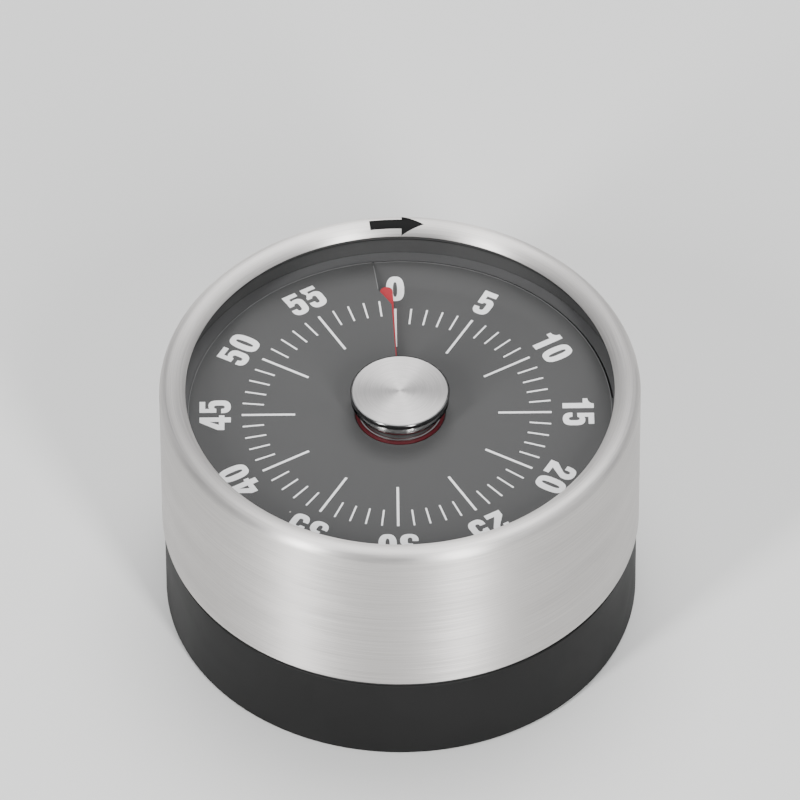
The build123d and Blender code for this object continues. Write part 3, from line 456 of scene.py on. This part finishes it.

# %% [markdown]
# ## Neck and cap
# The lens is clamped at its middle between a polished neck, which widens upwards like the
# foot of a glass, and a flat cap. The neck stands on a low bright foot, and its side is an
# arc through three points, found from the circle that passes through them. The cap's face
# was cut on a lathe, whose tool leaves fine rings. Its rim and side were polished, and the thin
# dark line they show is a painted reflection: the polished body is coloured near black. So
# the face and the body below it are two surfaces.

# %% Neck
def arc_through(first, middle, last, count=24):
    """Arc through three points. Its centre is as far from each, which gives two equations."""
    first, middle, last = (np.array(p, float) for p in (first, middle, last))
    sides = 2 * np.array([middle - first, last - first])
    centre = np.linalg.solve(sides, [middle @ middle - first @ first, last @ last - first @ first])
    angles = [np.arctan2(*(p - centre)[::-1]) for p in (first, last)]
    if abs(angles[1] - angles[0]) > np.pi:
        angles[1] -= 2 * np.pi * np.sign(angles[1] - angles[0])
    angle = np.linspace(*angles, count)
    return centre + np.linalg.norm(first - centre) * np.stack([np.cos(angle), np.sin(angle)], 1)


dial_level = 41.2
low, high = (np.array(corner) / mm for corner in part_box("centre_neck"))
cap_low, cap_high = (np.array(corner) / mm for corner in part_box("centre_cap"))
lens_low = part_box("lens")[0][2] / mm
arbor_hole, under_radius, foot_radius, waist, spigot = 1.52, 6.05, 6.95, 6.8, 7.68
foot_low, foot_high, waist_low = dial_level + 0.15, dial_level + 0.4, dial_level + 0.5
flare = arc_through((waist, dial_level + 0.9), (7.1, dial_level + 2.3), (high[0], lens_low))
neck_line = np.concatenate([
    [(arbor_hole, low[2]), (under_radius, low[2]), (under_radius, foot_low),
     (foot_radius, foot_low), (foot_radius, foot_high), (waist, waist_low)], flare,
    [(spigot, lens_low), (spigot, high[2]), (arbor_hole, high[2])],
])
edge = np.zeros(len(neck_line))
edge[[0, 1, -1, -2]] = 0.1
neck = make_piece("polished_neck", *turned(rounded(neck_line, edge, 5), 240), "turning_case",
                  finishes["polished_metal"], "polished_metal")
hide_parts("centre_neck")

# %% Cap
def turned_solid(profile, around):
    """Turned shape whose profile starts and ends on the axis, where fans of triangles close it."""
    points, faces = turned(profile[1:-1], around)
    count = len(profile) - 2
    seam = (faces % count == count - 1).any(1) & (faces % count == 0).any(1)
    points = np.concatenate([points, [(0, 0, profile[0, 1]), (0, 0, profile[-1, 1])]])
    here = np.arange(around)
    after = (here + 1) % around
    start = np.stack([here * count, after * count, np.full(around, len(points) - 2)], 1)
    end = np.stack([here * count + count - 1, np.full(around, len(points) - 1),
                    after * count + count - 1], 1)
    return points, faces[~seam].tolist() + start[:, ::-1].tolist() + end[:, ::-1].tolist()


# Polished metal coloured near black: a painted dark reflection on the cap's rim and side.
painted_reflection_metal = turned_metal("polished_edge_painted_reflection", (0.10, 0.10, 0.10), (0.14, 0.14, 0.14), 0.16,
                          depth=3e-7, across=5000.0)
cap_radius, cap_bevel, face_lift, face_inset, face_sunk = cap_high[0], 0.15, 0.02, 0.2, 0.01
inner = 0.4
body_top = cap_high[2] - face_lift
cap_side = rounded([(inner, cap_low[2]), (cap_radius, cap_low[2]),
                    (cap_radius, body_top - cap_bevel),
                    (cap_radius - cap_bevel, body_top), (inner, body_top)], [0, 0.1, 0.06, 0.05, 0],
                    5)
cap_line = np.concatenate([[(0, cap_low[2])], cap_side, [(0, body_top)]])
cap = make_piece("polished_cap", *turned_solid(cap_line, 240), "turning_case", painted_reflection_metal,
                 "polished_metal")
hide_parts("centre_cap")

rings = np.linspace(cap_radius - cap_bevel - face_inset, inner / 2, 26)
face_line = np.stack([rings, cap_high[2] - face_lift / 2 * (1 - (rings / cap_radius) ** 2)], 1)
face_under = body_top - face_sunk
face_line = np.concatenate([[(0, face_under), (rings[0], face_under)], face_line,
                            [(0, face_line[-1, 1])]])
make_piece("spun_cap_face", *turned_solid(face_line, 240), "turning_case", finishes["cap_metal"],
           "cap_metal", 20)

# %% [markdown]
# ## The dial sheet
# The dial is thin painted sheet, slit from the middle to its edge. On the clockwise side of
# the slit it is pressed down, and on the other side lifted, so the red disc can slide out
# over it. The slit has a step near its outer end. The surface is a grid: one direction goes
# once round from one side of the slit to the other, the other goes out from the hole, and
# the height eases from low to level and from level to lifted. The edge of the sheet is held
# by its seat, so there both fade away.

# %% Dial heights and points
slit_inner, slit_outer = -3.1, -7.2
step_inner, step_outer = 24.6, 28.0
dial_hole, dial_radius, foil = 7.6, 35.3, 0.2
slit_drop, slit_lift = 1.4, 0.6
drop_span, lift_span = 80, 75
flat_from, flattened = 30.0, 0.94


def ease(share):
    """Smooth step: three times the square less twice the cube, level at both ends."""
    share = np.clip(share, 0, 1)
    return share * share * (3 - 2 * share)


def dial_height(clock, radius):
    """Level less the eased-out drop, plus the eased-in lift; both fade towards the edge."""
    turned_by = clock - slit_outer
    share = 1 - flattened * ease((radius - flat_from) / (dial_radius - flat_from))
    lifted = slit_lift * ease(1 - (360 - turned_by) / lift_span)
    dropped = slit_drop * (1 - ease(turned_by / drop_span))
    return dial_level + share * (lifted - dropped)


def on_dial(radius, clock, height):
    """Point at a radius and an angle counted clockwise from the back."""
    radius, angle, height = np.broadcast_arrays(radius, np.radians(clock), height)
    return np.stack([radius * np.sin(angle), radius * np.cos(angle), height], -1)


def slit_at(radius):
    """Clock angle of the slit: straight, slanting back between the ends of the step, then straight."""
    share = np.clip((radius - step_inner) / (step_outer - step_inner), 0, 1)
    return slit_inner + (slit_outer - slit_inner) * share


# %% Dial sheet
def sheet_faces(around, section):
    """Corner numbers of a closed sheet: a grid, open between its last row and first, and both ends."""
    faces = ring_faces(around, section)
    body = faces[np.abs(faces // section - faces[:, :1] // section).max(1) <= 1]
    ladder = np.arange(section // 2 - 1)
    end = np.stack([ladder, ladder + 1, section - 2 - ladder, section - 1 - ladder], 1)
    return np.concatenate([body, end, end[:, ::-1] + (around - 1) * section])


def sheet(radii, start, span, height_at, thickness, around):
    """Closed sheet: its section, out along the top and back underneath, carried round the dial."""
    share = np.linspace(0, 1, around)[:, None]
    clock = start(radii)[None] + span * share
    top = on_dial(radii[None], clock, height_at(clock, radii[None]))
    under = top[:, ::-1] - (0, 0, thickness)
    return np.concatenate([top, under], 1).reshape(-1, 3), sheet_faces(around, 2 * len(radii))


dial_radii = np.concatenate([[dial_hole], np.linspace(8, step_inner, 24),
                             np.linspace(step_inner, step_outer, 7)[1:],
                             np.linspace(step_outer, flat_from, 8)[1:],
                             np.linspace(flat_from, dial_radius, 10)[1:]])
dial = make_piece("printed_dial", *sheet(dial_radii, slit_at, 360.0, dial_height, foil, 361),
                  "root",
                  finishes["dial_foil"], "dial_foil")
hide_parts("dial_plate")

# %% [markdown]
# Where the sheet was cut, its bare edge catches the light as a hairline: once beside the
# slit and once all round. A bevel on the sheet would be too fine to show, so the highlight
# is painted: a thin square line of lighter grey is laid along each edge, following its dips.

# %% Painted highlights along the cut edges of the sheet
# Lighter grey than the dial paint: a painted highlight where the cut edges catch the light.
painted_edge_highlight = moulded("painted_highlight_sheet_edge", (0.16, 0.16, 0.16), (0.2, 0.2, 0.2), 0.5, 2e-7)
hairline, proud, beside, outside = 0.05, 0.03, 0.1, 0.06


def cut_edge(radius, clock):
    """Thin square line on the sheet through these radii and clock angles, as a closed slab."""
    line = on_dial(radius, clock, dial_height(clock, radius))
    along = np.gradient(line, axis=0)
    aside = np.stack([along[:, 1], -along[:, 0]], 1)
    aside *= hairline / np.linalg.norm(aside, axis=1)[:, None]
    flat = np.concatenate([aside, np.zeros((len(aside), 1))], 1)
    corners = np.stack([line - flat, line + flat], 1)
    top, under = corners + (0, 0, proud), corners - (0, 0, proud)
    i = np.arange(len(line) - 1) * 2
    count = 2 * len(line)
    strips = [np.stack([i, i + 2, i + 3, i + 1], 1), np.stack([i, i + 1, i + 3, i + 2], 1) + count,
              np.stack([i, i + count, i + 2 + count, i + 2], 1),
              np.stack([i + 1, i + 3, i + 3 + count, i + 1 + count], 1),
              np.array([[0, 1, 1 + count, count],
                        [count - 2, 2 * count - 2, 2 * count - 1, count - 1]])]
    return np.concatenate([top.reshape(-1, 3), under.reshape(-1, 3)]), np.concatenate(strips)


reach = np.linspace(step_outer + 0.3, dial_radius - 0.9, 30)
slit_side = np.full(30, slit_outer + 360 - beside)
make_piece("slit_painted_highlight", *cut_edge(reach, slit_side), "root", painted_edge_highlight, "dial_foil")
round_clock = np.linspace(slit_outer + 0.3, slit_outer + 359.7, 361)
rim_line = np.full(361, dial_radius - outside)
make_piece("rim_painted_highlight", *cut_edge(rim_line, round_clock), "root", painted_edge_highlight, "dial_foil")

# %% [markdown]
# ## The red disc
# The disc is a sheet of red film on a screw surface: it climbs 2 mm in one turn, so part of
# it comes up through the slit for each minute set. A round tab at its leading corner shows
# which number it has reached. The tab's outline is put into the outer radius of the grid:
# near the leading edge, the radius follows a circle. A sine comes back to the same value
# half a turn on, so only the first quarter turn is asked for the tab.

# %% Red disc
disc_bore, disc_radius = 7.75, 26.8
lead_clock, disc_span, disc_pitch = -2.3, 363.0, 2.0
tab_radius, tab_end = 1.05, 29.2
tab_middle = tab_end - tab_radius
quarter, inside = 90, 0.9999


def disc_top(clock):
    """Height that grows evenly with the angle. At the 0 mark the sheet's middle is level."""
    return dial_level + disc_pitch * clock / 360 + foil / 2


def disc_points(behind, share):
    """Point a share of the way out along the line this many degrees behind the leading edge."""
    aside = tab_middle * np.sin(np.radians(behind)) - tab_radius
    reach = np.sqrt(np.clip(tab_radius ** 2 - aside ** 2, 0, None))
    on_tab = (np.abs(aside) < tab_radius * inside) & (behind < quarter)
    outer = np.where(on_tab, tab_middle + reach, disc_radius)
    radius = disc_bore + (outer - disc_bore) * share
    return on_dial(radius, lead_clock - behind, disc_top(lead_clock - behind))


tab_degrees = np.degrees(np.arcsin(2 * tab_radius / tab_middle))
bend = (1 - np.cos(np.linspace(0, np.pi, 40))) / 2 * tab_degrees
behind = np.concatenate([bend[:-1], [tab_degrees - 1e-4, tab_degrees],
                         np.linspace(tab_degrees, disc_span, 340)[1:]])
shares = np.linspace(0, 1, 12)
top = disc_points(behind[:, None], shares[None])
disc_mesh = np.concatenate([top, top[:, ::-1] - (0, 0, foil)], 1).reshape(-1, 3)
disc = make_piece("red_time_disc", disc_mesh, sheet_faces(len(behind), 2 * len(shares)),
                  "time_disc", finishes["red_film"], "red_film")
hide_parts("visual_disc")

# %% [markdown]
# ## Printing on the dial
# The minute marks are screen printed, so they lie on the sheet and follow its dips. Each is
# a thin slab a few hundredths of a millimetre high: long and slightly wider at every fifth
# minute, short between. All sixty are one mesh, made from one bar turned sixty times. The
# print is laid 0.7 mm off the axis and a third of a degree round. That offset was found by
# fitting the view, not from how such a dial is made, so it may belong to the camera.

# %% Minute marks
ink = 0.03
print_shift = np.array([-0.56, -0.38])
print_turn = -0.35


def on_sheet(x, y, lift):
    """Point on the sheet or this far over it: place gives angle and radius, and they the height."""
    turn = np.radians(print_turn)
    turned_x, turned_y = x * np.cos(turn) + y * np.sin(turn), y * np.cos(turn) - x * np.sin(turn)
    x, y = turned_x + print_shift[0], turned_y + print_shift[1]
    clock = np.degrees(np.arctan2(x, y)) % 360
    clock = np.where(clock > 360 + slit_outer, clock - 360, clock)
    radius = np.hypot(x, y)
    before = clock < slit_at(radius)
    return np.stack([x, y, dial_height(np.where(before, clock + 360, clock), radius) + lift], -1)


def slab_faces(rows, columns):
    """Corner numbers of a closed slab: a top grid, the bottom grid after it, and the rim between."""
    i, j = np.meshgrid(np.arange(rows - 1), np.arange(columns - 1), indexing="ij")
    top = np.stack([i * columns + j, (i + 1) * columns + j, (i + 1) * columns + j + 1,
                    i * columns + j + 1], -1)
    top = top.reshape(-1, 4)
    under = top[:, ::-1] + rows * columns
    rim = np.concatenate([np.arange(columns), (np.arange(1, rows) + 1) * columns - 1,
                          (rows - 1) * columns + np.arange(columns - 2, -1, -1),
                          np.arange(rows - 2, 0, -1) * columns])
    after = np.roll(rim, -1)
    side = np.stack([rim, after, after + rows * columns, rim + rows * columns], 1)
    return np.concatenate([top, under, side])


def printed_bars(minutes, inner, outer, width):
    """Bars along these minute lines. Half the width over the radius is the angle to each side."""
    along = np.linspace(inner, outer, 6)
    across = np.array([-0.5, 0.0, 0.5]) * width
    clock = np.radians(minutes[:, None, None] * 6) + across[None, None] / along[None, :, None]
    top = on_sheet(along[None, :, None] * np.sin(clock), along[None, :, None] * np.cos(clock), ink)
    points = np.stack([top, top - (0, 0, ink * 1.5)], 1).reshape(-1, 3)
    first = np.arange(len(minutes)) * 2 * len(along) * len(across)
    one = slab_faces(len(along), len(across))
    return points, (one[None] + first[:, None, None]).reshape(-1, 4)


every = np.arange(60)
long_start, short_start, marks_end = 16.9, 22.2, 25.77
long_points, long_faces = printed_bars(every[every % 5 == 0], long_start, marks_end, 0.42)
short_points, short_faces = printed_bars(every[every % 5 > 0], short_start, marks_end, 0.30)
make_piece("minute_marks", np.concatenate([long_points, short_points]),
           np.concatenate([long_faces, short_faces + len(long_points)]), "root", light_ink, None)

# %% [markdown]
# ## Numbers on the dial
# The numbers are a plain, slightly squared face of even strokes, 5.2 mm high. A font could
# be loaded, but six digits are few enough to draw from arcs and straight lines. Each digit
# is a list of closed outlines; the first is its outside and the others are its holes.

# %% Digit outlines
digit_shapes = {
    "0": (3.05, [bow((1.525, 2.6), (1.525, 2.6), 0, 352, 2.7, 40),
                 bow((1.525, 2.6), (0.36, 1.63), 0, 350, 2.7, 28)]),
    "1": (2.20, [np.array([(1.06, 0), (2.20, 0), (2.20, 5.2), (1.20, 5.2), (1.10, 4.80),
                           (0.88, 4.48), (0.52, 4.24),
                           (0, 4.15), (0, 3.38), (1.06, 3.36)])]),
    "2": (2.90, [np.concatenate([
        [(0, 3.07)], bow((1.425, 3.65), (1.425, 1.55), 180, 0, 2.4, 22),
        [(2.82, 3.35), (2.68, 3.0), (1.36, 1.0), (2.8, 1.0),
        (2.8, 0), (0, 0), (0, 1.28), (1.50, 3.06), (1.65, 3.4)],
        bow((1.31, 3.65), (0.36, 0.55), 0, 180, 2.4, 12),
        [(0.95, 3.07)]])]),
    "3": (3.03, [np.concatenate([
        [(1.0, 1.58), (0, 1.58)], bow((1.515, 1.45), (1.515, 1.45), 180, 360, 2.4, 22),
        bow((1.83, 1.5), (1.2, 1.22), 4, 62, 2.2, 8),
        bow((1.8, 3.82), (1.13, 1.12), -62, -4, 2.2, 8),
        bow((1.5, 3.8), (1.43, 1.4), 0, 180, 2.4, 22), [(0.07, 3.6), (1.03, 3.6)],
        bow((1.405, 3.8), (0.375, 0.55), 180, 0, 2.4, 12),
        [(1.78, 3.3), (1.66, 3.02), (1.4, 2.94), (0.93, 2.94), (0.93, 2.16),
        (1.45, 2.16), (1.72, 2.06), (1.81, 1.8)],
        bow((1.405, 1.4), (0.405, 0.62), 0, -180, 2.4, 12)])]),
    "4": (3.33, [np.array([(1.74, 0), (2.87, 0), (2.87, 1.07), (3.33, 1.07), (3.33, 1.95),
                           (2.87, 1.95), (2.87, 5.2),
                           (1.72, 5.2), (0, 2.2), (0, 1.07), (1.74, 1.07)]),
                 np.array([(1.87, 3.6), (1.15, 1.98), (1.87, 1.98)])]),
    "5": (2.90, [np.concatenate([
        [(0.95, 1.6), (0, 1.6)], bow((1.45, 1.45), (1.45, 1.45), 180, 360, 2.4, 22),
        bow((1.65, 2.3), (1.25, 1.42), 0, 122, 2.4, 14),
        [(0.97, 3.42), (0.97, 4.27), (2.6, 4.27), (2.6, 5.2), (0.1, 5.2),
        (0.1, 2.42), (0.97, 2.42)], bow((1.38, 2.3), (0.39, 0.5), 165, 0, 2.4, 12),
        bow((1.38, 1.5), (0.39, 0.5), 0, -165, 2.4, 12)])]),
}
print("digits drawn:", sorted(digit_shapes))


# %% Numbers laid on the sheet
def digit_slab(loops, across, outward):
    """Filled outlines as a slab: flat triangles, and a strip of quads round each loop."""
    flat = np.concatenate(loops)
    fill = np.array(tessellate_polygon([[(x, y, 0) for x, y in loop] for loop in loops]))
    sides, base = [], 0
    for loop in loops:
        here = base + np.arange(len(loop))
        after = base + (np.arange(len(loop)) + 1) % len(loop)
        sides.append(np.stack([here, after, after + len(flat), here + len(flat)], 1))
        base += len(loop)
    return flat + (across, outward), fill, np.concatenate(sides)


def laid(flat, minute, lift):
    """Flat letters to the dial: x goes clockwise across the minute line, y goes out along it."""
    line = np.radians(minute * 6)
    x = flat[:, 1] * np.sin(line) + flat[:, 0] * np.cos(line)
    y = flat[:, 1] * np.cos(line) - flat[:, 0] * np.sin(line)
    return on_sheet(x, y, lift)


def pair_gap(first):
    """Space after a digit: a 1 has more, because its flag leans away."""
    return 1.05 if first == "1" else 0.55


baseline = 27.6
number_points, number_faces, count = [], [], 0
for minute in range(0, 60, 5):
    text = str(minute)
    wide = sum(digit_shapes[d][0] for d in text) + (pair_gap(text[0]) if len(text) > 1 else 0)
    start = -wide / 2
    for d in text:
        flat, fill, sides = digit_slab(digit_shapes[d][1], start, baseline)
        number_points += [laid(flat, minute, ink), laid(flat, minute, -ink / 2)]
        number_faces += (fill + count).tolist()
        number_faces += (fill[:, ::-1] + count + len(flat)).tolist()
        number_faces += (sides + count).tolist()
        count += 2 * len(flat)
        start += digit_shapes[d][0] + pair_gap(d)
make_piece("dial_numbers", np.concatenate(number_points), number_faces, "root", light_ink, None, 20)

# %% [markdown]
# ## The arrow on the rim
# A small black arrow is printed on top of the rolled rim and says which way to wind. It has
# to hug the curve of the rim, so each point of a flat arrow is wrapped onto it: its height
# above the line becomes a radius, and the two arcs of the rim give the level there.

# %% Rim arrow
def rim_level(radius):
    """Level of the rim: outside its crest the wide arc, inside it the tight one."""
    arc = np.where(radius > crest, rim_round, lip_round)
    return shell_top - arc + np.sqrt(arc ** 2 - (radius - crest) ** 2)


tail, neck_of_head, tip, shaft, head = -4.97, 0.4, 4.15, 0.85, 1.75
arrow_line, strips, arrow_lift, arrow_depth = 37.45, 33, 0.02, 0.05
columns = np.concatenate([np.linspace(tail, neck_of_head, 16), [neck_of_head + 1e-3],
                          np.linspace(neck_of_head, tip, 16)[1:]])
half_width = np.where(columns <= neck_of_head, shaft,
                      head * (tip - columns) / (tip - neck_of_head)) + 1e-3
share = np.linspace(-1, 1, strips)[None]
radius = arrow_line + half_width[:, None] * share
top = on_dial(radius, np.degrees(columns[:, None] / arrow_line), rim_level(radius) + arrow_lift)
make_piece("winding_arrow",
           np.concatenate([top.reshape(-1, 3), (top - (0, 0, arrow_depth)).reshape(-1, 3)]),
           slab_faces(len(columns), strips), "turning_case", dark_ink, None)

# %% [markdown]
# ## Table, light and camera
# The timer stands on a plain pale floor. Steel only looks like steel when it has something
# bright to reflect: a broad lamp over it is the white ceiling, and two tall narrow ones draw
# the bright upright bands on the shell.

# %% Floor
floor_mesh = bpy.data.meshes.new("pale_floor")
reach = 3.0
floor_mesh.from_pydata([(-reach, -reach, 0), (reach, -reach, 0), (reach, reach, 0),
                        (-reach, reach, 0)], [], [(0, 1, 2, 3)])
pale, tree, shader, place = new_finish("pale_floor_paint", Roughness=0.8)
shader.inputs["Base Color"].default_value = (0.72, 0.72, 0.71, 1)
floor_mesh.materials.append(pale)
floor = bpy.data.objects.new("pale_floor", floor_mesh)
bpy.context.scene.collection.objects.link(floor)

# %% Lamps
def soft_lamp(name, place, aim, width, height, watts):
    """Flat lamp of this width and height at a place, facing a point."""
    lamp = bpy.data.lights.new(name, "AREA")
    lamp.shape, lamp.size, lamp.size_y, lamp.energy = "RECTANGLE", width, height, watts
    made = bpy.data.objects.new(name, lamp)
    made.location = place
    toward = np.array(aim, float) - np.array(place, float)
    made.rotation_euler = (np.arccos(-toward[2] / np.linalg.norm(toward)), 0,
                           np.arctan2(-toward[0], toward[1]))
    bpy.context.scene.collection.objects.link(made)


soft_lamp("lamp_over", (0.1, 0.5, 1.3), (0, 0, 0.03), 0.9, 0.9, 17)
soft_lamp("lamp_left", (-0.82, -0.88, 0.62), (0, 0, 0.03), 0.18, 0.9, 19)
soft_lamp("lamp_right", (0.52, -1.085, 0.62), (0, 0, 0.03), 0.18, 0.9, 20)
world = bpy.data.worlds.new("studio")
world.use_nodes = True
world.node_tree.nodes["Background"].inputs[0].default_value = (0.9, 0.92, 0.95, 1)
world.node_tree.nodes["Background"].inputs[1].default_value = 0.48
bpy.context.scene.world = world

# %% Camera
elevation, distance = np.radians(46.03), 1.924
camera = bpy.data.cameras.new("camera")
camera.lens, camera.sensor_width = 520.5, 36.0
camera.shift_x, camera.shift_y = 0.0026, 0.0148
viewer = bpy.data.objects.new("camera", camera)
viewer.location = (0, -distance * np.cos(elevation), dial_level * mm + distance * np.sin(elevation))
lean = np.radians(0.3)
viewer.rotation_euler = (np.pi / 2 - elevation, lean * np.sin(elevation), -lean * np.cos(elevation))
bpy.context.scene.collection.objects.link(viewer)
bpy.context.scene.camera = viewer
